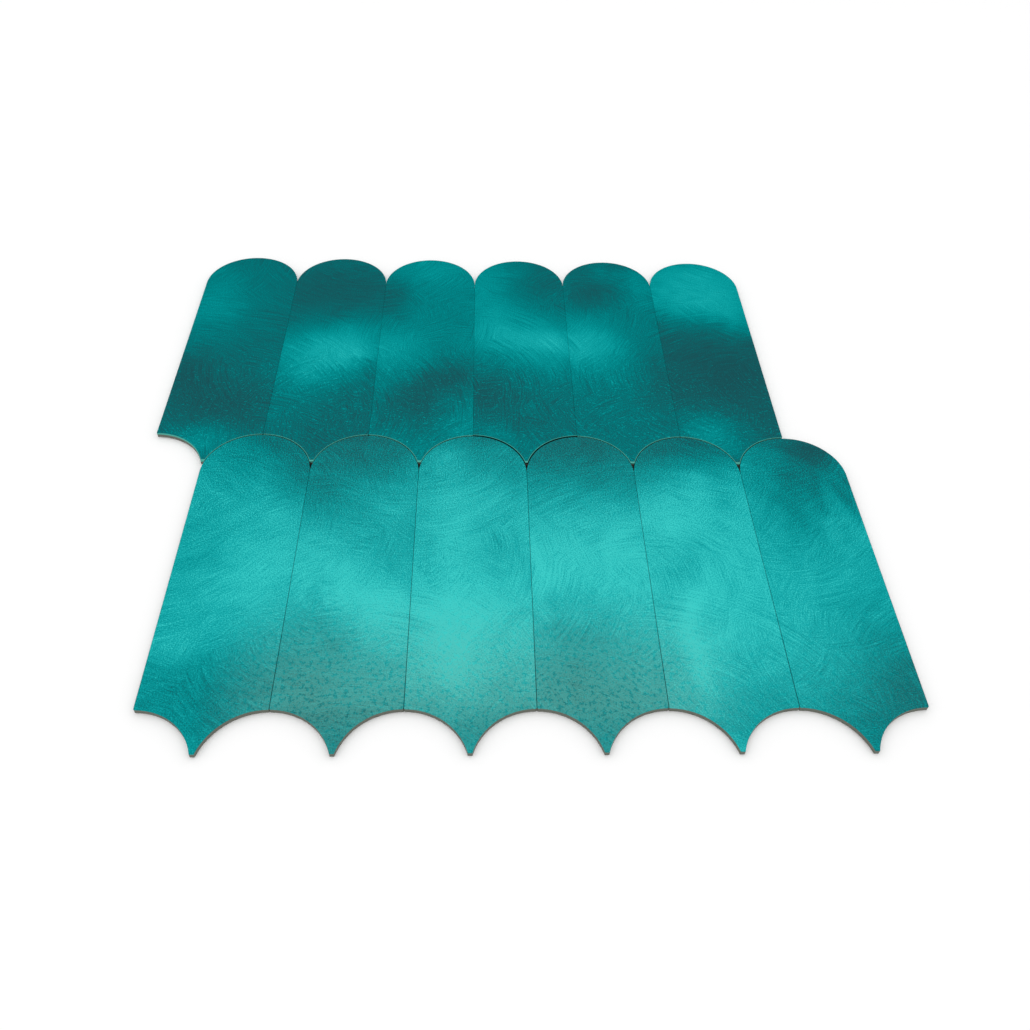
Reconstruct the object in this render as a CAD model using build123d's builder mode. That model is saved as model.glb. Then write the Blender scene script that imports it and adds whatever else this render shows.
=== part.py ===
"""A self-adhesive mosaic tile: two rows of long metal chips on one adhesive sheet.

Every chip has a half-round crown at the back and a foot of two hollow arcs at the front.
The crowns of the front row nest into the hollow feet of the back row, which stands half a
chip to the left, with a narrow gap round the top of each crown. All chips are stuck on one
black adhesive sheet, and a paper release liner covers its underside. Units are millimetres, +Z is up, the sheet lies on z = 0 and its
bounding box is centred on the Z axis. The front of the sheet, with the tips, is towards -Y.
"""
from build123d import *
from math import sqrt
import os

# Driving dimensions of one chip
chip_width = 46.15
side_length = 115.5
tip_width = 1.6
chip_thickness = 2.0
face_edge_chamfer = 0.2
foot_corner_round = 0.5
tip_corner_round = 0.6

# Driving dimensions of the rows, which make a sheet about 300 mm wide
chips_per_row = 6
joint = 0.05
crown_gap = 0.6

# Driving dimensions of the backing
adhesive_thickness = 0.3
liner_thickness = 0.1
backing_inset = 1.0
backing_tip_trim = 3.0

# The joint is shared out evenly between the crowns and the hollow feet
pitch = chip_width + joint
half_pitch = pitch / 2
crown_radius = half_pitch - joint / 2
hollow_radius = half_pitch + joint / 2

# The two hollow arcs of a foot end where the tip between them is down to its width
tip_depth = half_pitch - sqrt(hollow_radius**2 - (half_pitch - tip_width / 2) ** 2)

# The back row stands half a chip to the left and a little apart, so that a joint of the same
# width at the sides opens out to the crown gap at the top of each front crown
row_step = side_length + half_pitch + crown_gap - joint
sheet_width = chips_per_row * pitch - joint + half_pitch
sheet_depth = row_step + side_length + crown_radius + tip_depth
front_line = tip_depth - sheet_depth / 2
back_line = front_line + row_step
first_back_chip = (chip_width - sheet_width) / 2
first_front_chip = first_back_chip + half_pitch

# The levels, from the floor up
adhesive_bottom = liner_thickness
chip_bottom = adhesive_bottom + adhesive_thickness

os.makedirs("parts", exist_ok=True)


def make_chip(name, centre_x, foot_y):
    """One chip, with the middle of its foot at (centre_x, foot_y)."""
    with BuildPart() as chip:
        with BuildSketch(Plane.XY.offset(chip_bottom)) as outline:
            body_length = side_length + tip_depth
            with Locations((centre_x, foot_y + side_length - body_length / 2)):
                Rectangle(chip_width, body_length)
            with Locations((centre_x, foot_y + side_length)):
                Circle(crown_radius)
            with Locations((centre_x, foot_y - half_pitch)):
                with GridLocations(pitch, 0, 2, 1):
                    Circle(hollow_radius, mode=Mode.SUBTRACT)
            tip_corners = outline.vertices().group_by(Axis.Y)[0]
            fillet(tip_corners, radius=tip_corner_round)
            by_side = outline.vertices().group_by(Axis.X)
            foot_corners = [side.sort_by(Axis.Y)[0] for side in (by_side[0], by_side[-1])]
            fillet(foot_corners, radius=foot_corner_round)
        extrude(amount=chip_thickness)
        face_edges = chip.edges().group_by(Axis.Z)[-1]
        chamfer(face_edges, length=face_edge_chamfer)
    chip.part.label = name
    export_step(chip.part, f"parts/{name}.step")


def make_backing(name, bottom, thickness):
    """A layer that follows the outline of all the chips, a little inside it."""
    with BuildPart() as layer:
        with BuildSketch(Plane.XY.offset(bottom)):
            row_width = chips_per_row * pitch - 2 * backing_inset
            to_row_middle = (chips_per_row - 1) / 2 * pitch
            back_middle = first_back_chip + to_row_middle
            front_middle = first_front_chip + to_row_middle
            crown_line = front_line + side_length
            # The back row, hollowed at its left end where no front crown fills the foot
            with Locations((back_middle, crown_line + row_step / 2)):
                Rectangle(row_width, row_step)
            with Locations((first_back_chip - half_pitch, back_line - half_pitch)):
                Circle(half_pitch + backing_inset, mode=Mode.SUBTRACT)
            with Locations((back_middle, crown_line + row_step)):
                with GridLocations(pitch, 0, chips_per_row, 1):
                    Circle(half_pitch - backing_inset)
            # The front row with its tips
            foot_length = tip_depth - backing_tip_trim
            body_length = side_length + foot_length
            with Locations((front_middle, crown_line - body_length / 2)):
                Rectangle(row_width, body_length)
            with Locations((front_middle, crown_line)):
                with GridLocations(pitch, 0, chips_per_row, 1):
                    Circle(half_pitch - backing_inset)
            with Locations((front_middle, front_line - half_pitch)):
                with GridLocations(pitch, 0, chips_per_row + 1, 1):
                    Circle(half_pitch + backing_inset, mode=Mode.SUBTRACT)
        extrude(amount=thickness)
    layer.part.label = name
    export_step(layer.part, f"parts/{name}.step")


for number in range(chips_per_row):
    make_chip(f"front_chip_{number + 1}", first_front_chip + number * pitch, front_line)
    make_chip(f"back_chip_{number + 1}", first_back_chip + number * pitch, back_line)

make_backing("adhesive_sheet", adhesive_bottom, adhesive_thickness)
make_backing("release_liner", 0.0, liner_thickness)
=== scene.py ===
"""The looks of a self-adhesive mosaic tile: brushed teal metal chips on a black adhesive sheet.

The chips are modelled with a rolled edge and stand in for the plain solids. The adhesive
sheet and the paper liner keep their solids and get their own finish. Lengths are in metres,
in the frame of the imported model, and the sheet lies face up with its tips towards -Y.
"""

from math import cos, radians, sin, sqrt

import bpy
from bpy.props import FloatProperty, FloatVectorProperty, IntProperty, PointerProperty
from bpy.types import Operator, Panel, PropertyGroup
from mathutils import Matrix, Vector


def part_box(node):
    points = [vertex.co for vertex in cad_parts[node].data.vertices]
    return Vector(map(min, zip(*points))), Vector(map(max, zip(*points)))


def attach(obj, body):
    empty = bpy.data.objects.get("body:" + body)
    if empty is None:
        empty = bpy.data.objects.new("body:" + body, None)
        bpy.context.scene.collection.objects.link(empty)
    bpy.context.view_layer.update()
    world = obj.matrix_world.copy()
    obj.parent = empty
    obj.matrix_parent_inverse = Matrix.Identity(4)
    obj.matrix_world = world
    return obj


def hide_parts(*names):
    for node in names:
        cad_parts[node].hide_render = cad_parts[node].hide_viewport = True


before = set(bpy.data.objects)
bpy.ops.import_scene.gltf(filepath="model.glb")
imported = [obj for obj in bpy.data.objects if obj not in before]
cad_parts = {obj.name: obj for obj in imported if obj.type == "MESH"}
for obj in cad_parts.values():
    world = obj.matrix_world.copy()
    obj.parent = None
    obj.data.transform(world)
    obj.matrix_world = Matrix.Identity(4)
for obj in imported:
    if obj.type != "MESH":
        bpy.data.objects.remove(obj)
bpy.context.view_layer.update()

bl_info = {
    "name": "Mosaic tile maker",
    "version": (1, 0, 0),
    "blender": (4, 5, 0),
    "location": "3D View > Sidebar > Mosaic tile",
    "description": "Models and finishes the chips and the backing of a mosaic tile",
    "category": "Object",
}

MM = 0.001
CHIPS_PER_ROW = 6
TIP_WIDTH = 1.6 * MM

# Closer than this, two points of a mesh are one, or lie on one upright line
SAME_POINT = 0.001 * MM

# Closer than this, a point lies on the side of a chip that is looked for
NEAR = 0.01 * MM

# Flats in a small rounding, and round the whole circle that cuts a hollow
ROUND_STEPS = 5
HOLLOW_STEPS = 256

# Width of the ring that is set in along the edge of the face
FACE_RING = 0.1 * MM

# Faces that meet at a smaller angle than this are shaded as one
SMOOTH_ANGLE = radians(35)

# A face looks straight up when the upward part of its normal is more than this
FACING_UP = 0.999

# Factors that drop the height of a point
FLAT = (1.0, 1.0, 0.0)


def linear(red, green, blue):
    """A display colour from 0 to 255, as the linear values that Blender mixes."""
    return tuple(((part / 255 + 0.055) / 1.055) ** 2.4 if part > 10 else part / 255 / 12.92
                 for part in (red, green, blue))


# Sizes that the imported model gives

front_low, front_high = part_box("front_chip_1")
next_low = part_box("front_chip_2")[0]
CHIP_WIDTH = front_high.x - front_low.x
PITCH = next_low.x - front_low.x
JOINT = PITCH - CHIP_WIDTH
CROWN_RADIUS = CHIP_WIDTH / 2
HOLLOW_RADIUS = (PITCH + JOINT) / 2
TIP_DEPTH = PITCH / 2 - sqrt(HOLLOW_RADIUS**2 - (PITCH / 2 - TIP_WIDTH / 2) ** 2)
SIDE_LENGTH = front_high.y - front_low.y - CROWN_RADIUS - TIP_DEPTH
CHIP_BOTTOM = front_low.z
FACE_LEVEL = front_high.z


# Shader maths


class Wire:
    """An output socket that can stand in a Python expression."""

    def __init__(self, shader, socket):
        self.shader = shader
        self.socket = socket

    def math(self, operation, first, second):
        settings = {"operation": operation}
        return self.shader.add("ShaderNodeMath", settings, {0: first, 1: second})

    def __add__(self, other):
        return self.math("ADD", self, other)

    def __radd__(self, other):
        return self.math("ADD", other, self)

    def __sub__(self, other):
        return self.math("SUBTRACT", self, other)

    def __rsub__(self, other):
        return self.math("SUBTRACT", other, self)

    def __mul__(self, other):
        return self.math("MULTIPLY", self, other)

    def __rmul__(self, other):
        return self.math("MULTIPLY", other, self)

    def __truediv__(self, other):
        return self.math("DIVIDE", self, other)

    def __rtruediv__(self, other):
        return self.math("DIVIDE", other, self)

    def output(self, name):
        """Another output of the same node."""
        return Wire(self.shader, self.socket.node.outputs[name])

    def outputs(self, *names):
        return [self.output(name) for name in names]


class Shader:
    """A new material and the one way in which its nodes are added."""

    def __init__(self, name):
        self.material = bpy.data.materials.new(name)
        self.material.use_nodes = True
        self.tree = self.material.node_tree
        self.tree.nodes.clear()

    def add(self, kind, settings=None, sockets=None, output=0):
        node = self.tree.nodes.new(kind)
        for key, value in (settings or {}).items():
            if key == "stops":
                self.set_stops(node.color_ramp, value)
            else:
                setattr(node, key, value)
        for key, value in (sockets or {}).items():
            if isinstance(value, Wire):
                self.tree.links.new(value.socket, node.inputs[key])
            else:
                node.inputs[key].default_value = value
        return Wire(self, node.outputs[output]) if node.outputs else None

    @staticmethod
    def set_stops(ramp, stops):
        while len(ramp.elements) > 1:
            ramp.elements.remove(ramp.elements[-1])
        ramp.elements[0].position, first_colour = stops[0]
        ramp.elements[0].color = (*first_colour, 1.0)
        for position, colour in stops[1:]:
            ramp.elements.new(position).color = (*colour, 1.0)

    def place(self):
        """The point on the object, in metres."""
        return self.add("ShaderNodeTexCoord", output="Object")

    def height(self, point):
        return self.add("ShaderNodeSeparateXYZ", sockets={0: point}, output="Z")

    def vector(self, operation, first, second, output="Vector"):
        settings = {"operation": operation}
        return self.add("ShaderNodeVectorMath", settings, {0: first, 1: second}, output)

    def noise(self, point, size, detail=2.0, roughness=0.5, flat=True):
        """Soft random blobs of about that size, from 0 to 1."""
        settings = {"noise_dimensions": "2D" if flat else "3D"}
        sockets = {"Vector": point, "Scale": 1 / size, "Detail": detail, "Roughness": roughness}
        return self.add("ShaderNodeTexNoise", settings, sockets, "Fac")

    def ramp(self, value, low, high, low_value=0.0, high_value=1.0):
        """A soft step of value, from low to high."""
        settings = {"interpolation_type": "SMOOTHSTEP"}
        sockets = {"Value": value, "From Min": low, "From Max": high,
                   "To Min": low_value, "To Max": high_value}
        return self.add("ShaderNodeMapRange", settings, sockets, "Result")

    def size(self, value):
        """A value without its sign."""
        return value.math("ABSOLUTE", value, 0.0)

    def length(self, vector):
        return self.vector("LENGTH", vector, (0.0, 0.0, 0.0), "Value")

    def scaled(self, vector, factor):
        settings = {"operation": "SCALE"}
        return self.add("ShaderNodeVectorMath", settings, {0: vector, "Scale": factor}, "Vector")

    def mix_colour(self, share, first, second):
        settings = {"data_type": "RGBA"}
        first = first if isinstance(first, Wire) else (*first, 1.0)
        second = second if isinstance(second, Wire) else (*second, 1.0)
        return self.add("ShaderNodeMix", settings, {"Factor": share, 6: first, 7: second}, 2)

    def bump(self, height, strength, distance):
        sockets = {"Height": height, "Strength": strength, "Distance": distance}
        return self.add("ShaderNodeBump", sockets=sockets, output="Normal")

    def finish(self, **sockets):
        """Closes the material with one surface shader, whose sockets are given by name."""
        named = {key.replace("_", " "): value for key, value in sockets.items()}
        surface = self.add("ShaderNodeBsdfPrincipled", sockets=named)
        self.add("ShaderNodeOutputMaterial", sockets={"Surface": surface})
        return self.material


# Settings that a user would change


class ChipSettings(PropertyGroup):
    edge_roll: FloatProperty(
        name="Edge roll", description="Radius of the rolled edge round a chip's face",
        default=0.2 * MM, min=0.05 * MM, max=0.4 * MM, unit="LENGTH")
    tip_round: FloatProperty(
        name="Tip rounding", description="Radius of the two corners of a chip's blunt tip",
        default=0.6 * MM, min=0.1 * MM, max=0.7 * MM, unit="LENGTH")
    corner_round: FloatProperty(
        name="Corner rounding", description="Radius of the two outer corners of a chip's foot",
        default=0.5 * MM, min=0.1 * MM, max=1.0 * MM, unit="LENGTH")
    crown_steps: IntProperty(
        name="Crown steps", description="Flats that make up each half of a round crown",
        default=40, min=8, max=120)
    # The band round the back row's feet is bare metal, painted lighter as the highlight of that
    # edge
    worn_and_lit: FloatProperty(
        name="Worn edge", description="Width of bare metal round the feet of the back row",
        default=0.2 * MM, min=0.01 * MM, max=1.0 * MM, unit="LENGTH")
    # The darker line along the front row's sides is painted shade by the joints
    side_shade: FloatProperty(
        name="Dark edge", description="Width of the darker line along the sides of the front row",
        default=0.14 * MM, min=0.01 * MM, max=1.0 * MM, unit="LENGTH")
    skin: FloatProperty(
        name="Skin", description="How far the metal skin reaches down a chip's side",
        default=0.24 * MM, min=0.1 * MM, max=1.0 * MM, unit="LENGTH")
    # The pale band is painted light on the cut side of the back row
    pale: FloatProperty(
        name="Pale band", description="How far down the pale band below the skin reaches",
        default=0.7 * MM, min=0.2 * MM, max=2.0 * MM, unit="LENGTH")
    grain: FloatProperty(
        name="Grain", description="Strength of the fine grain of the brushed face", default=0.8)
    brushing: FloatProperty(
        name="Brushing", description="Strength of the brush strokes", default=0.62)
    swooshes: FloatProperty(
        name="Swooshes", description="Strength of the broad strokes of the front row", default=0.15)
    haze: FloatProperty(
        name="Haze", description="How thick the grey haze over the front feet is", default=0.38)
    edge_tint: FloatVectorProperty(
        name="Edge tint", description="Colour that the metal turns to at a shallow view",
        subtype="COLOR", default=(0.45, 0.8, 0.8))
    # Colours of the face from its least to its most sheen, which is painted into the colour
    deep: FloatVectorProperty(
        name="Deep teal", description="Colour of the face where it sends least light back",
        subtype="COLOR", default=linear(28, 78, 84))
    dark: FloatVectorProperty(
        name="Dark teal", description="Colour of the face in its dark stretches",
        subtype="COLOR", default=linear(6, 111, 114))
    middle: FloatVectorProperty(
        name="Middle teal", description="Usual colour of the face",
        subtype="COLOR", default=linear(4, 145, 147))
    light: FloatVectorProperty(
        name="Light teal", description="Colour of the face in its light stretches",
        subtype="COLOR", default=linear(26, 175, 176))
    bright: FloatVectorProperty(
        name="Bright teal", description="Colour of the face where it shines most",
        subtype="COLOR", default=linear(62, 208, 203))
    veil: FloatVectorProperty(
        name="Grey veil", description="Colour of the thin grey haze over the front feet",
        subtype="COLOR", default=linear(112, 166, 150))
    core: FloatVectorProperty(
        name="Core", description="Colour of a chip's cut side", subtype="COLOR",
        default=linear(98, 98, 88))
    # Bare metal round the back row's feet, painted lighter as a highlight
    bare_metal_highlight: FloatVectorProperty(
        name="Bare metal", description="Colour of the worn edge of the back row",
        subtype="COLOR", default=linear(84, 172, 158))
    # Painted light: the cut side of the back row is painted pale below the skin, as the light it
    # catches
    pale_side: FloatVectorProperty(
        name="Pale side", description="Colour of the band below the skin in the back row",
        subtype="COLOR", default=linear(70, 158, 146))
    shade: FloatVectorProperty(
        name="Edge shade", description="Colour of the dark lines along some edges of the chips",
        subtype="COLOR", default=linear(8, 52, 50))


class BackingSettings(PropertyGroup):
    film: FloatVectorProperty(
        name="Adhesive", description="Colour of the adhesive sheet", subtype="COLOR",
        default=linear(9, 9, 10))
    paper: FloatVectorProperty(
        name="Liner", description="Colour of the paper liner", subtype="COLOR",
        default=linear(188, 150, 108))


class StageSettings(PropertyGroup):
    aim_x: FloatProperty(
        name="Aim across", description="Point of the face that the camera looks at, along the rows",
        default=5.92 * MM, unit="LENGTH")
    aim_y: FloatProperty(
        name="Aim along", description="Point of the face that the camera looks at, along the chips",
        default=-38.99 * MM, unit="LENGTH")
    distance: FloatProperty(
        name="Distance", description="From the camera to the point that it looks at",
        default=400.3 * MM, unit="LENGTH")
    azimuth: FloatProperty(
        name="Azimuth", description="How far the camera's view turns from +Y towards +X",
        default=radians(3.141), unit="ROTATION")
    elevation: FloatProperty(
        name="Elevation", description="How steeply the camera looks down",
        default=radians(47.311), unit="ROTATION")
    roll: FloatProperty(
        name="Roll", description="How far the camera is tilted about its own view",
        default=radians(2.526), unit="ROTATION")
    lens: FloatProperty(
        name="Lens", description="Focal length of the camera, in millimetres on a 36 mm sensor",
        default=34.06, unit="CAMERA")
    floor: FloatVectorProperty(
        name="Floor", description="Colour of the floor", subtype="COLOR",
        default=linear(252, 252, 252))
    sky: FloatProperty(
        name="Room light", description="Strength of the even light from all round", default=1.0)
    key: FloatProperty(
        name="Key light", description="Power of the large soft light above the camera, in watts",
        default=4.0, unit="POWER")


# The stage: the floor lies just clear of the sheet, and the light hangs high up on the left,
# behind the camera
FLOOR_SIZE = 12.0
FLOOR_CLEARANCE = 0.05 * MM
LIGHT_PLACE = (-0.6, -1.2, 1.9)
LIGHT_WIDTH = 2.4
WHITE = (1.0, 1.0, 1.0, 1.0)

# The camera's sensor in millimetres, and the nearest distance that it sees
SENSOR_WIDTH = 36.0
NEAREST = 0.01


def chosen(name):
    """One group of the settings, as they stand in the scene."""
    return getattr(bpy.context.scene, name)


# The sheen of the brushed face, painted into its colour chip by chip: its usual level and the
# soft glows on it, which are painted highlights and painted darker reflections. A glow is its
# distance from the chip's middle line and from the middle of its foot, half its width and half
# its length, all in millimetres, its turn in degrees, and its strength, which is negative where
# the face is darker. The chips of a row are numbered from left to right.
PAINTED_SHEEN = {
    "back_chip_1": (0.16, (
        (-18, 98, 16, 34, 0, 0.2), (0, 102, 22, 38, 0, 0.08), (-18, 42, 16, 16, 0, -0.16),
        (2, 20, 24, 14, 0, -0.12), (-4, -6, 16, 11, 0, 0.26), (20, 46, 5, 14, 0, 0.06))),
    "back_chip_2": (0.16, (
        (0, 110, 34, 20, 0, -0.12), (2, 64, 30, 18, 8, 0.46), (-8, 42, 18, 16, 0, 0.24),
        (-18, 16, 12, 18, 0, 0.08), (13, 54, 9, 8, 0, 0.16), (20, 96, 6, 26, 0, 0.04))),
    "back_chip_3": (0.34, (
        (-22, 104, 12, 17, 0, -0.24), (4, 130, 20, 16, 0, 0.12), (-20, 62, 20, 16, 0, 0.2),
        (4, 28, 15, 24, -20, -0.32), (-16, 22, 12, 16, 0, -0.08), (18, 8, 12, 14, 0, 0.06),
        (18, 44, 9, 12, 0, -0.14), (8, 26, 9, 9, 0, 0.1), (20, 64, 6, 12, 0, 0.06),
        (-20, 8, 5, 16, 0, -0.06))),
    "back_chip_4": (0.21, (
        (-18, 112, 14, 34, 0, 0.25), (14, 122, 12, 14, 0, -0.1), (4, 70, 34, 18, -12, 0.42),
        (17, 66, 10, 10, 0, 0.1), (14, 46, 12, 12, 0, 0.08), (-18, 28, 14, 12, 0, -0.14),
        (-14, 2, 10, 8, 0, 0.12), (0, -8, 10, 8, 0, 0.08), (-2, 94, 14, 9, 0, 0.1),
        (-4, 10, 16, 9, 0, -0.06), (0, 127, 16, 9, 0, 0.06))),
    "back_chip_5": (0.24, (
        (18, 116, 10, 22, 0, 0.16), (-8, 114, 14, 14, 0, -0.15), (-16, 66, 22, 22, 0, 0.4),
        (20, 40, 9, 24, 0, -0.14), (-10, 102, 11, 8, 0, -0.08), (-4, 127, 8, 7, 0, 0.12),
        (12, 136, 14, 5, 0, -0.14), (-12, 130, 10, 8, 0, -0.07))),
    "back_chip_6": (0.07, (
        (2, 124, 50, 26, 0, 0.52), (2, 98, 40, 16, 0, 0.33), (-10, 2, 19, 15, 0, 0.34),
        (0, -10, 10, 8, 0, 0.1), (18, 84, 9, 12, 0, 0.2), (8, 46, 22, 20, 0, -0.1))),
    "front_chip_1": (0.66, (
        (6, 138, 30, 22, 0, -0.42), (20, 113, 9, 15, 0, -0.26), (14, 68, 20, 26, 0, 0.18),
        (-4, 129, 4, 12, 62, 0.07), (-16, 66, 12, 6, 10, -0.08), (-16, 28, 12, 8, 0, 0.08),
        (0, 50, 20, 14, 0, 0.06), (2, 4, 40, 18, 0, -0.25), (0, -12, 12, 10, 0, -0.1),
        (-12, 78, 9, 9, 0, -0.07), (6, 14, 9, 6, 0, -0.06))),
    "front_chip_2": (0.64, (
        (-8, 132, 34, 26, 0, -0.42), (-22, 104, 9, 12, 0, -0.1), (18, 98, 12, 14, 0, 0.06),
        (0, 42, 9, 12, 40, 0.08), (-21, 50, 6, 16, 0, 0.1), (-14, 100, 9, 9, 0, -0.08),
        (0, 56, 36, 14, -37, 0.27), (18, 34, 14, 22, 0, 0.15), (-16, 18, 16, 18, 0, -0.15),
        (0, -8, 30, 14, 0, -0.26), (10, 55, 8, 7, 0, -0.08), (16, 128, 6, 8, 0, -0.1),
        (-4, 139, 20, 5, 0, -0.1))),
    "front_chip_3": (0.79, (
        (8, 136, 34, 22, 0, -0.38), (20, 112, 9, 13, 0, -0.14), (-4, 38, 26, 24, 0, 0.18),
        (0, 118, 12, 10, 0, -0.06), (-4, 8, 14, 14, 0, 0.08), (4, -9, 40, 14, 0, -0.32),
        (-21, 114, 6, 17, 0, -0.12), (-8, 84, 8, 18, 0, 0.07), (-7, 125, 8, 10, 0, 0.14),
        (10, 74, 8, 16, 10, -0.09), (-8, 26, 8, 22, 14, 0.1), (-18, 76, 5, 14, 0, -0.08),
        (13, 10, 6, 14, 0, -0.07), (0, 138, 30, 6, 0, -0.1))),
    "front_chip_4": (0.55, (
        (0, 66, 80, 34, 0, 0.36), (0, 134, 60, 26, 0, -0.34), (20, 26, 12, 26, 0, 0.08),
        (0, -8, 30, 14, 0, -0.06), (-8, 14, 9, 20, 0, -0.1), (-21, 48, 4, 20, 0, 0.08),
        (6, 132, 5, 8, 0, -0.05), (9, 105, 8, 6, 0, -0.06), (14, 90, 6, 12, 0, 0.08))),
    "front_chip_5": (0.82, (
        (0, 138, 60, 24, 0, -0.64), (-20, 120, 10, 14, 0, -0.12), (-12, 90, 12, 10, 0, 0.08),
        (-8, 64, 5, 17, -38, -0.1), (-9, 42, 4, 15, -20, 0.14), (-10, 20, 5, 16, 0, 0.14),
        (2, 106, 8, 10, 0, 0.12), (14, 100, 7, 9, 0, -0.12), (-2, 34, 14, 36, 0, 0.04),
        (18, 8, 14, 18, 0, -0.15), (4, -8, 26, 16, 0, -0.2), (-22, 10, 3, 12, 0, -0.1))),
    "front_chip_6": (0.66, (
        (8, 136, 30, 22, 0, -0.5), (16, 132, 10, 12, 0, -0.18), (-2, 104, 9, 26, -8, -0.26),
        (21, 104, 9, 13, 0, -0.28), (-2, 126, 8, 9, 0, 0.1), (7, 104, 3, 20, -6, -0.14),
        (-10, 56, 4, 14, -16, 0.05), (-18, 108, 10, 20, 0, -0.08), (-18, 40, 16, 24, 0, 0.1),
        (22, 12, 20, 30, 0, -0.3), (4, -8, 26, 18, 0, -0.24))),
}

# How much narrower the band of bare metal and painted highlight is along the hollow arcs than
# at the end of the tip
TIP_RIM = 0.2

# Chips whose foot ends in a painted shadow, a dark edge inside the bare metal, with the width of
# that edge, half the breadth of its soft end, and the stretch on which the cut side is painted
# darker towards such a foot
SHADOWED_FEET = {"back_chip_4": 0.3 * MM}
SOFT_END = 0.05 * MM
SIDE_SHADOW = (0.6 * MM, 0.2 * MM)

# Brush strokes: the patch in which they share a centre, and how wide a stroke is
COARSE_PATCH = 64 * MM
COARSE_STROKE = 0.8 * MM
FINE_PATCH = 52 * MM
FINE_STROKE = 0.45 * MM
BROAD_PATCH = 60 * MM
BROAD_STROKE = 7 * MM

# How far the centre of the strokes lies from the middle of their patch, in patches
ARC_REACH = 0.75

# Blobs within which the strokes are all coarse or all fine
BLEND_PATCH = 20 * MM

# How the glows wander off their place, and how far the strokes fray them
DRIFT_PATCH = 14 * MM
DRIFT = 9 * MM
FRAY = 5 * MM

# Sizes of the grain, the light specks and the blots in the haze
GRAIN_SIZE = 0.45 * MM
SPECK_SIZE = 0.7 * MM
BLOT_SIZE = 1.7 * MM

# Strength of the specks in each row, and the share of its strength that the grain has at the back
FRONT_SPECKS = 0.12
BACK_SPECKS = 0.24
BACK_GRAIN = 0.85

# Stretches along a chip, measured from the middle of its foot, on which the grain gets
# stronger, the specks denser, the haze thicker up to the foot and from the tips, and the
# painted shade along the sides darker
GRAIN_STRETCH = (30 * MM, 130 * MM)
SPECK_STRETCH = (74 * MM, 34 * MM)
HAZE_STRETCH = (58 * MM, 2 * MM)
TIP_STRETCH = (-16 * MM, 4 * MM)
LINE_STRETCH = (70 * MM, 0.0)

# Where along the front row the haze is thickest, the two distances from there between which it
# gets thicker inwards, and the stretch of the row on which its thin ends get thicker rightwards
HAZE_MIDDLE = -8 * MM
HAZE_BREADTH = (100 * MM, 60 * MM)
HAZE_ENDS = (-80 * MM, 110 * MM)

# How wavy the lower end of the metal skin is: the size of its waves and their height
WAVE_SIZE = 0.5 * MM
WAVE_HEIGHT = 0.1 * MM

# How deep the brush strokes, the film's unevenness and the paper's fibres look
STROKE_DEPTH = 0.05 * MM
FILM_DEPTH = 0.1 * MM
FIBRE_DEPTH = 0.04 * MM

# Sizes of the uneven spots of the film, and of the fibres and clouds of the paper
FILM_SPOT = 3 * MM
FIBRE_WIDTH = 0.6 * MM
CLOUD_SIZE = 18 * MM


# Materials


def brush_strokes(shader, point, patch, width, shift, sweeps=2.6, detail=3.0):
    """Arcs left by a brushing disc: rings of streaks round a centre beside each patch."""
    moved = shader.vector("ADD", point, (shift, shift / 2, 0.0))
    cells = shader.add(
        "ShaderNodeTexVoronoi", {"voronoi_dimensions": "2D"},
        {"Vector": moved, "Scale": 1 / patch, "Randomness": 1.0}, "Position")
    aside = shader.vector("SUBTRACT", cells.output("Color"), (0.5, 0.5, 0.5))
    aside = shader.vector("MULTIPLY", aside, FLAT)
    aside = shader.add("ShaderNodeVectorMath", {"operation": "NORMALIZE"}, {0: aside}, "Vector")
    centre = shader.vector("ADD", cells, shader.scaled(aside, patch * ARC_REACH))
    arm = shader.vector("MULTIPLY", shader.vector("SUBTRACT", moved, centre), FLAT)
    radius = shader.length(arm)
    parts = shader.add("ShaderNodeSeparateXYZ", sockets={0: arm}, output="X")
    turn = parts.math("ARCTAN2", parts.output("Y"), parts)
    streak = shader.add("ShaderNodeCombineXYZ", sockets={"X": radius / width, "Y": turn * sweeps})
    return shader.noise(streak, 1.0, detail, roughness=0.75)


def brushed_pattern(shader, flat_point):
    """Two sets of arcs, coarse in some blobs of the face and fine in the others."""
    coarse = brush_strokes(shader, flat_point, COARSE_PATCH, COARSE_STROKE, 0.0)
    fine = brush_strokes(shader, flat_point, FINE_PATCH, FINE_STROKE, 0.4)
    which = shader.ramp(shader.noise(flat_point, BLEND_PATCH, 1.0), 0.42, 0.58)
    return coarse + which * (fine - coarse) - 0.5


def glow(shader, point, middle, foot, numbers):
    """One soft bright or dark stretch of the sheen, painted into the colour."""
    across, along, half_width, half_length, turn, strength = numbers
    spot = shader.add(
        "ShaderNodeMapping", {"vector_type": "TEXTURE"},
        {"Vector": point, "Location": (middle + across * MM, foot + along * MM, 0.0),
         "Rotation": (0.0, 0.0, radians(turn)),
         "Scale": (half_width * MM, half_length * MM, 1.0)}, "Vector")
    away = shader.length(spot)
    return strength * away.math("EXPONENT", -1.0 * (away * away), 0.0)


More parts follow.
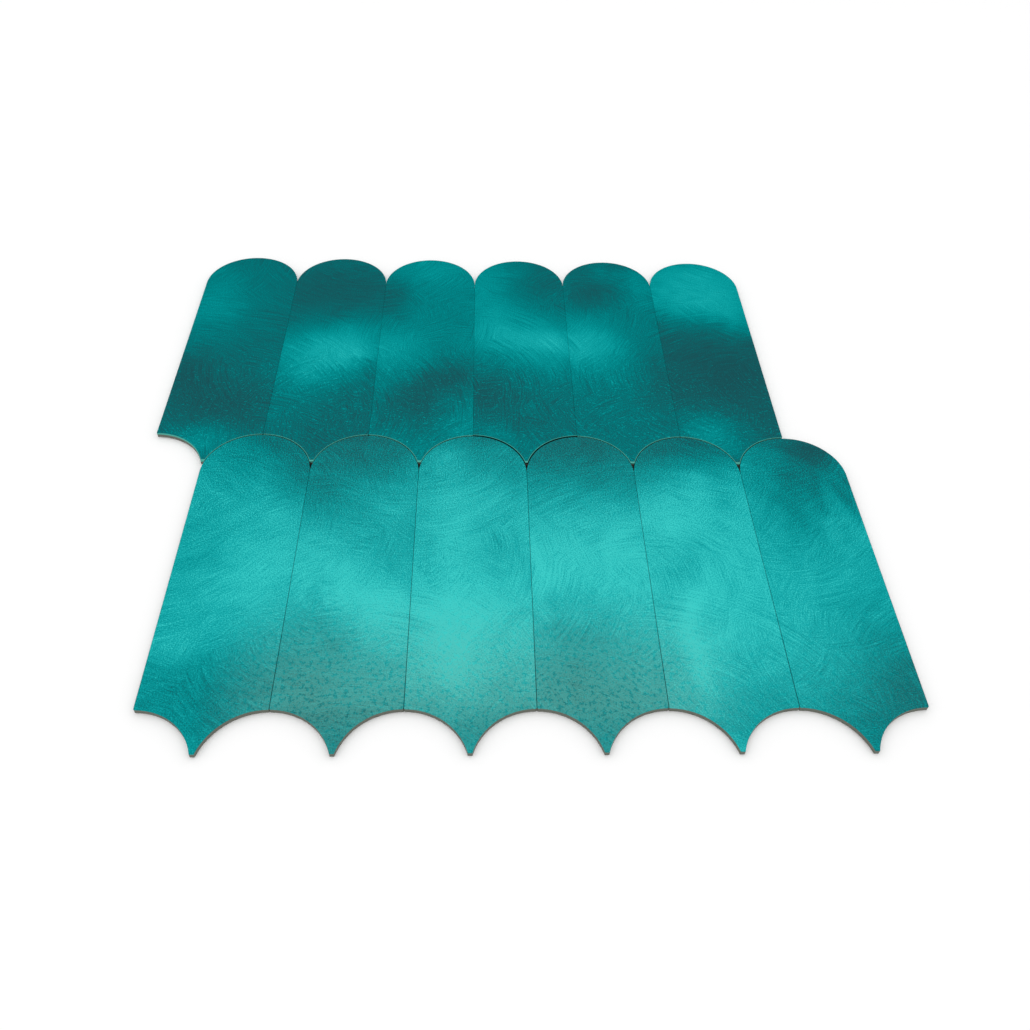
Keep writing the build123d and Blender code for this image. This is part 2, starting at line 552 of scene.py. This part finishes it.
def soft_sheen(shader, node, flat_point, strokes, middle, foot):
    """The painted sheen: the level of the chip with all its glows, whose edges are frayed along the
    strokes.
    """
    drift = shader.add(
        "ShaderNodeTexNoise", {"noise_dimensions": "2D"},
        {"Vector": flat_point, "Scale": 1 / DRIFT_PATCH, "Detail": 3.0}, "Color")
    drift = shader.scaled(shader.vector("SUBTRACT", drift, (0.5, 0.5, 0.5)), DRIFT)
    fray = shader.add("ShaderNodeCombineXYZ", sockets={"X": strokes * FRAY, "Y": strokes * FRAY})
    drifted = shader.vector("MULTIPLY", shader.vector("ADD", flat_point, drift), FLAT)
    drifted = shader.vector("ADD", drifted, fray)
    sheen, glows = PAINTED_SHEEN[node]
    for numbers in glows:
        sheen = sheen + glow(shader, drifted, middle, foot, numbers)
    return sheen


def speck_mask(shader, point, along):
    """Short light specks, which are densest near the feet."""
    dashes = shader.vector("MULTIPLY", point, (0.6, 1.0, 1.0))
    specks = shader.ramp(shader.noise(dashes, SPECK_SIZE, 1.0, flat=False), 0.62, 0.7)
    return specks * shader.ramp(along, *SPECK_STRETCH, 0.2, 1.0)


def haze_mask(shader, across, along):
    """The grey haze over the feet in the middle of the front row, thin at its ends and tips."""
    aside = shader.size(across - HAZE_MIDDLE)
    at_ends = shader.ramp(across, *HAZE_ENDS, 0.02, 0.14)
    haze = shader.ramp(along, *HAZE_STRETCH, 0.08, 1.0)
    haze = haze * shader.ramp(aside, *HAZE_BREADTH, at_ends, 1.0)
    return haze * shader.ramp(along, *TIP_STRETCH, 0.4, 1.0)


def lacquer_and_painted_sheen(shader, sheen, look):
    """The teal colour of the face, from its darkest to its brightest painted sheen."""
    colours = (look.deep, look.dark, look.middle, look.light, look.bright)
    stops = [(place / (len(colours) - 1), colour) for place, colour in enumerate(colours)]
    return shader.add("ShaderNodeValToRGB", {"stops": stops}, {"Fac": sheen}, "Color")


def front_face(shader, point, across, along, sheen, middle, look):
    """The face of a front chip, with the haze over its foot and a darker line of painted shade at
    its sides.
    """
    haze = haze_mask(shader, across, along)
    blots = shader.ramp(shader.noise(point, BLOT_SIZE, 3.0, 0.7), 0.5, 0.62)
    face = lacquer_and_painted_sheen(shader, sheen - blots * haze * 0.1, look)
    face = shader.mix_colour(haze * (1 - blots * 0.7) * look.haze, face, look.veil)
    # A darker line along the sides is painted shade by the joints
    from_side = CHIP_WIDTH / 2 - shader.size(across - middle)
    line = shader.ramp(from_side, look.side_shade * 1.4, look.side_shade * 0.6)
    line = line * shader.ramp(along, *LINE_STRETCH, 0.35, 0.65)
    return shader.mix_colour(line, face, look.shade)


def foot_rim(shader, flat_point, along, middle, foot, foot_shadow):
    """How far a point of the face lies in from the tip and the hollow arcs with their painted
    shadow.
    """
    rim = (along + TIP_DEPTH) * TIP_RIM
    for side in (-1, 1):
        centre = (middle + side * PITCH / 2, foot - PITCH / 2, 0.0)
        reach = shader.vector("DISTANCE", flat_point, centre, "Value")
        rim = rim.math("MINIMUM", rim, reach - (HOLLOW_RADIUS + foot_shadow))
    return rim


def back_face(shader, sheen, rim, foot_shadow, look):
    """The face of a back chip, with a band of bare metal and painted highlight along its foot."""
    worn_and_lit = shader.ramp(rim, look.worn_and_lit * 1.2, look.worn_and_lit * 0.8)
    face = shader.mix_colour(worn_and_lit, lacquer_and_painted_sheen(shader, sheen, look), look.bare_metal_highlight)
    if foot_shadow:
        # A painted shadow at the edge of the foot
        face = shader.mix_colour(shader.ramp(rim, SOFT_END, -SOFT_END), face, look.shade)
    return face


def back_side(shader, depth, rim, foot_shadow, look):
    """The cut side of a back chip: a pale band of painted light and the core below it."""
    pale_side = look.pale_side
    if foot_shadow:
        # The cut side is painted darker, as shade, towards a foot with a painted shadow
        by_foot = shader.ramp(rim, *SIDE_SHADOW)
        pale_side = shader.mix_colour(by_foot, look.pale_side, look.shade)
    return shader.mix_colour(shader.ramp(depth, look.pale, look.pale * 0.7), look.core, pale_side)


def chip_material(node, middle, foot):
    """Teal lacquered, brushed metal on the face with its sheen painted into the colour, and the cut
    side below it.
    """
    look = chosen("mosaic_chip")
    in_front = node.startswith("front")
    shader = Shader(f"{node}_finish")
    point = shader.place()
    flat_point = shader.vector("MULTIPLY", point, FLAT)
    parts = shader.add("ShaderNodeSeparateXYZ", sockets={0: point}, output="X")
    across, along = parts.outputs("X", "Y")
    along = along - foot

    strokes = brushed_pattern(shader, flat_point)
    sheen = soft_sheen(shader, node, flat_point, strokes, middle, foot)
    if in_front:
        # Broad swooshes of painted sheen along the brushing
        broad = brush_strokes(
            shader, flat_point, BROAD_PATCH, BROAD_STROKE, 0.7, sweeps=1.8, detail=1.0)
        sheen = sheen + (broad - 0.5) * look.swooshes
        grain_strength = shader.ramp(along, *GRAIN_STRETCH, 0.9, 1.6) * look.grain
    else:
        grain_strength = look.grain * BACK_GRAIN
    grain = shader.noise(flat_point, GRAIN_SIZE, 1.0)
    sheen = sheen + strokes * look.brushing + (grain - 0.5) * grain_strength
    specks = speck_mask(shader, point, along)
    sheen = sheen + specks * (FRONT_SPECKS if in_front else BACK_SPECKS)

    # Down the side the metal skin comes first, with a wavy end, and then what lies below it
    wavy = shader.noise(point, WAVE_SIZE, flat=False) - 0.5
    depth = FACE_LEVEL - shader.height(point) + wavy * WAVE_HEIGHT
    on_skin = shader.ramp(depth, look.skin * 1.2, look.skin)
    if in_front:
        face = front_face(shader, flat_point, across, along, sheen, middle, look)
        side = look.core
    else:
        foot_shadow = SHADOWED_FEET.get(node, 0.0)
        rim = foot_rim(shader, flat_point, along, middle, foot, foot_shadow)
        face = back_face(shader, sheen, rim, foot_shadow, look)
        side = back_side(shader, depth, rim, foot_shadow, look)
    return shader.finish(
        Base_Color=shader.mix_colour(on_skin, side, face), Metallic=on_skin,
        Roughness=0.36 + strokes * 0.2 + (1 - on_skin) * 0.3,
        Specular_Tint=(*look.edge_tint, 1.0),
        Normal=shader.bump(strokes * on_skin, 0.3, STROKE_DEPTH))


def film_material():
    """Black adhesive film with a faintly uneven, dull surface."""
    shader = Shader("adhesive_film")
    point = shader.place()
    uneven = shader.noise(point, FILM_SPOT, 3.0, flat=False)
    film = chosen("mosaic_backing").film
    lighter = tuple(part * 2.2 for part in film)
    return shader.finish(
        Base_Color=shader.mix_colour(uneven, film, lighter), Roughness=0.6 + uneven * 0.2,
        Normal=shader.bump(uneven, 0.3, FILM_DEPTH))


def paper_material():
    """Brown release paper with long fibres and a thin shiny coating."""
    shader = Shader("release_paper")
    point = shader.place()
    stretched = shader.vector("MULTIPLY", point, (0.25, 1.0, 1.0))
    fibres = shader.noise(stretched, FIBRE_WIDTH, 4.0, 0.65)
    clouds = shader.noise(point, CLOUD_SIZE, 3.0)
    paper = chosen("mosaic_backing").paper
    darker = tuple(part * 0.72 for part in paper)
    tone = fibres * 0.6 + clouds * 0.4
    return shader.finish(
        Base_Color=shader.mix_colour(tone, darker, paper), Roughness=0.34 + fibres * 0.22,
        Normal=shader.bump(fibres, 0.25, FIBRE_DEPTH))


def plain_material(name, colour, roughness):
    shader = Shader(name)
    return shader.finish(Base_Color=(*colour, 1.0), Roughness=roughness)


# Modelling


def deselect_all():
    if bpy.context.object and bpy.context.object.mode != "OBJECT":
        bpy.ops.object.mode_set(mode="OBJECT")
    bpy.ops.object.select_all(action="DESELECT")


def select_only(piece):
    deselect_all()
    piece.select_set(True)
    bpy.context.view_layer.objects.active = piece


def add_cube(low, high):
    """A box from its lowest to its highest corner."""
    deselect_all()
    bpy.ops.mesh.primitive_cube_add(size=1.0, location=(low + high) / 2, scale=high - low)
    bpy.ops.object.transform_apply(location=True, rotation=True, scale=True)
    return bpy.context.object


def edit_edges(piece, wanted):
    """Opens the piece in edit mode with only the edges selected whose two ends are wanted."""
    select_only(piece)
    bpy.ops.object.mode_set(mode="EDIT")
    bpy.ops.mesh.select_mode(type="EDGE")
    bpy.ops.mesh.select_all(action="DESELECT")
    bpy.ops.object.mode_set(mode="OBJECT")
    points = piece.data.vertices
    for edge in piece.data.edges:
        first, last = (points[number].co for number in edge.vertices)
        edge.select = bool(wanted(first, last))
    bpy.ops.object.mode_set(mode="EDIT")


def bevel_edges(piece, wanted, radius, steps=ROUND_STEPS):
    """Rounds the edges that are wanted."""
    edit_edges(piece, wanted)
    bpy.ops.mesh.bevel(
        offset=radius, segments=steps, profile=0.5, affect="EDGES", clamp_overlap=True)
    bpy.ops.mesh.select_all(action="SELECT")
    bpy.ops.mesh.remove_doubles(threshold=SAME_POINT)
    bpy.ops.object.mode_set(mode="OBJECT")


def inset_faces(piece, wanted, width):
    """Insets the faces that are wanted, which keeps the rest of them truly flat when smoothed."""
    select_only(piece)
    bpy.ops.object.mode_set(mode="EDIT")
    bpy.ops.mesh.select_mode(type="FACE")
    bpy.ops.mesh.select_all(action="DESELECT")
    bpy.ops.object.mode_set(mode="OBJECT")
    for face in piece.data.polygons:
        face.select = bool(wanted(face))
    bpy.ops.object.mode_set(mode="EDIT")
    bpy.ops.mesh.inset(thickness=width)
    bpy.ops.object.mode_set(mode="OBJECT")


def is_upright(first, last):
    """Whether an edge from first to last stands upright."""
    return (first - last).xy.length < SAME_POINT


def cut_hollow(chip, across):
    """Cuts the round hollow that a crown of the next row fills, on one side of the foot."""
    deselect_all()
    bpy.ops.mesh.primitive_cylinder_add(
        vertices=HOLLOW_STEPS, radius=HOLLOW_RADIUS, depth=8 * (FACE_LEVEL - CHIP_BOTTOM),
        location=(across, -PITCH / 2, FACE_LEVEL))
    cutter = bpy.context.object
    select_only(chip)
    cut = chip.modifiers.new("hollow", "BOOLEAN")
    cut.object = cutter
    cut.operation = "DIFFERENCE"
    bpy.ops.object.modifier_apply(modifier=cut.name)
    bpy.data.objects.remove(cutter)


def model_chip(look):
    """One chip with the middle of its foot at the origin, at its real height."""
    low = Vector((-CHIP_WIDTH / 2, -TIP_DEPTH, CHIP_BOTTOM))
    high = Vector((CHIP_WIDTH / 2, SIDE_LENGTH + CROWN_RADIUS, FACE_LEVEL))
    chip = add_cube(low, high)
    bevel_edges(chip, lambda a, b: is_upright(a, b) and a.y > high.y - NEAR,
                CROWN_RADIUS, look.crown_steps)
    for side in (-1, 1):
        cut_hollow(chip, side * PITCH / 2)
    bevel_edges(chip, lambda a, b: is_upright(a, b) and a.y < low.y + NEAR, look.tip_round)
    bevel_edges(chip, lambda a, b: is_upright(a, b) and abs(a.x) > high.x - NEAR
                and a.y < PITCH / 8, look.corner_round)
    bevel_edges(chip, lambda a, b: min(a.z, b.z) > high.z - NEAR, look.edge_roll)
    inset_faces(chip, lambda face: face.normal.z > FACING_UP, FACE_RING)
    select_only(chip)
    bpy.ops.object.shade_smooth_by_angle(angle=SMOOTH_ANGLE)
    return chip


def chip_names():
    return [f"{row}_chip_{number + 1}"
            for row in ("front", "back") for number in range(CHIPS_PER_ROW)]


class MOSAIC_OT_chips(Operator):
    """Model one chip with its rolled edge and lay a copy of it over each chip of the sheet"""

    bl_idname = "mosaic.chips"
    bl_label = "Chips"

    def execute(self, context):
        master = model_chip(chosen("mosaic_chip"))
        for node in chip_names():
            low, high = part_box(node)
            middle = (low.x + high.x) / 2
            foot = low.y + TIP_DEPTH
            mesh = master.data.copy()
            mesh.transform(Matrix.Translation((middle, foot, 0.0)))
            mesh.materials.clear()
            mesh.materials.append(chip_material(node, middle, foot))
            chip = bpy.data.objects.new(f"{node}_plate", mesh)
            context.collection.objects.link(chip)
            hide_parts(node)
            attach(chip, "root")
        bpy.data.objects.remove(master)
        return {"FINISHED"}


def dress(node, material):
    """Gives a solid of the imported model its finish."""
    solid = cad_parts[node]
    for slot in solid.material_slots:
        slot.material = material


class MOSAIC_OT_backing(Operator):
    """Finish the adhesive sheet and the release liner"""

    bl_idname = "mosaic.backing"
    bl_label = "Backing"

    def execute(self, context):
        dress("adhesive_sheet", film_material())
        dress("release_liner", paper_material())
        return {"FINISHED"}


class MOSAIC_OT_stage(Operator):
    """Set up the floor, the light and the camera"""

    bl_idname = "mosaic.stage"
    bl_label = "Stage"

    def execute(self, context):
        look = chosen("mosaic_stage")
        deselect_all()
        bpy.ops.mesh.primitive_plane_add(size=FLOOR_SIZE, location=(0.0, 0.0, -FLOOR_CLEARANCE))
        floor = context.object
        floor.name = "floor"
        floor.data.materials.append(plain_material("floor_paint", look.floor, 0.9))

        world = bpy.data.worlds.new("room")
        world.use_nodes = True
        background = world.node_tree.nodes["Background"]
        background.inputs["Color"].default_value = WHITE
        background.inputs["Strength"].default_value = look.sky
        context.scene.world = world

        context.scene.view_settings.view_transform = "Standard"

        self.add_light(look)
        self.add_camera(look)
        return {"FINISHED"}

    @staticmethod
    def add_light(look):
        """One large square lamp, turned to the middle of the sheet."""
        place = Vector(LIGHT_PLACE)
        light = bpy.data.lights.new("softbox", "AREA")
        light.shape = "SQUARE"
        light.size = LIGHT_WIDTH
        light.energy = look.key
        lamp = bpy.data.objects.new("softbox", light)
        lamp.location = place
        lamp.rotation_euler = (-place).to_track_quat("-Z", "Y").to_euler()
        bpy.context.collection.objects.link(lamp)

    @staticmethod
    def add_camera(look):
        """The camera at the photo's angle, looking at a point of the face."""
        forward = Vector((sin(look.azimuth) * cos(look.elevation),
                          cos(look.azimuth) * cos(look.elevation), -sin(look.elevation)))
        aim = Vector((look.aim_x, look.aim_y, FACE_LEVEL))
        lens = bpy.data.cameras.new("camera")
        lens.lens = look.lens
        lens.sensor_width = SENSOR_WIDTH
        lens.clip_start = NEAREST
        camera = bpy.data.objects.new("camera", lens)
        turn = forward.to_track_quat("-Z", "Y").to_matrix().to_4x4()
        tilt = Matrix.Rotation(look.roll, 4, "Z")
        camera.matrix_world = Matrix.Translation(aim - forward * look.distance) @ turn @ tilt
        bpy.context.collection.objects.link(camera)
        bpy.context.scene.camera = camera


class MOSAIC_PT_panel(Panel):
    """The steps that make the tile"""

    bl_idname = "MOSAIC_PT_panel"
    bl_label = "Mosaic tile"
    bl_space_type = "VIEW_3D"
    bl_region_type = "UI"
    bl_category = "Mosaic tile"

    def draw(self, context):
        for step in STEPS:
            self.layout.operator(step.bl_idname)


STEPS = (MOSAIC_OT_stage, MOSAIC_OT_chips, MOSAIC_OT_backing)
SETTINGS = {"mosaic_chip": ChipSettings, "mosaic_backing": BackingSettings,
            "mosaic_stage": StageSettings}


def register():
    for group in (*SETTINGS.values(), *STEPS, MOSAIC_PT_panel):
        bpy.utils.register_class(group)
    for name, group in SETTINGS.items():
        setattr(bpy.types.Scene, name, PointerProperty(type=group))


def unregister():
    for name in SETTINGS:
        delattr(bpy.types.Scene, name)
    for group in (MOSAIC_PT_panel, *reversed(STEPS), *SETTINGS.values()):
        bpy.utils.unregister_class(group)


def main():
    register()
    bpy.ops.mosaic.stage()
    bpy.ops.mosaic.chips()
    bpy.ops.mosaic.backing()


if __name__ == "__main__":
    main()
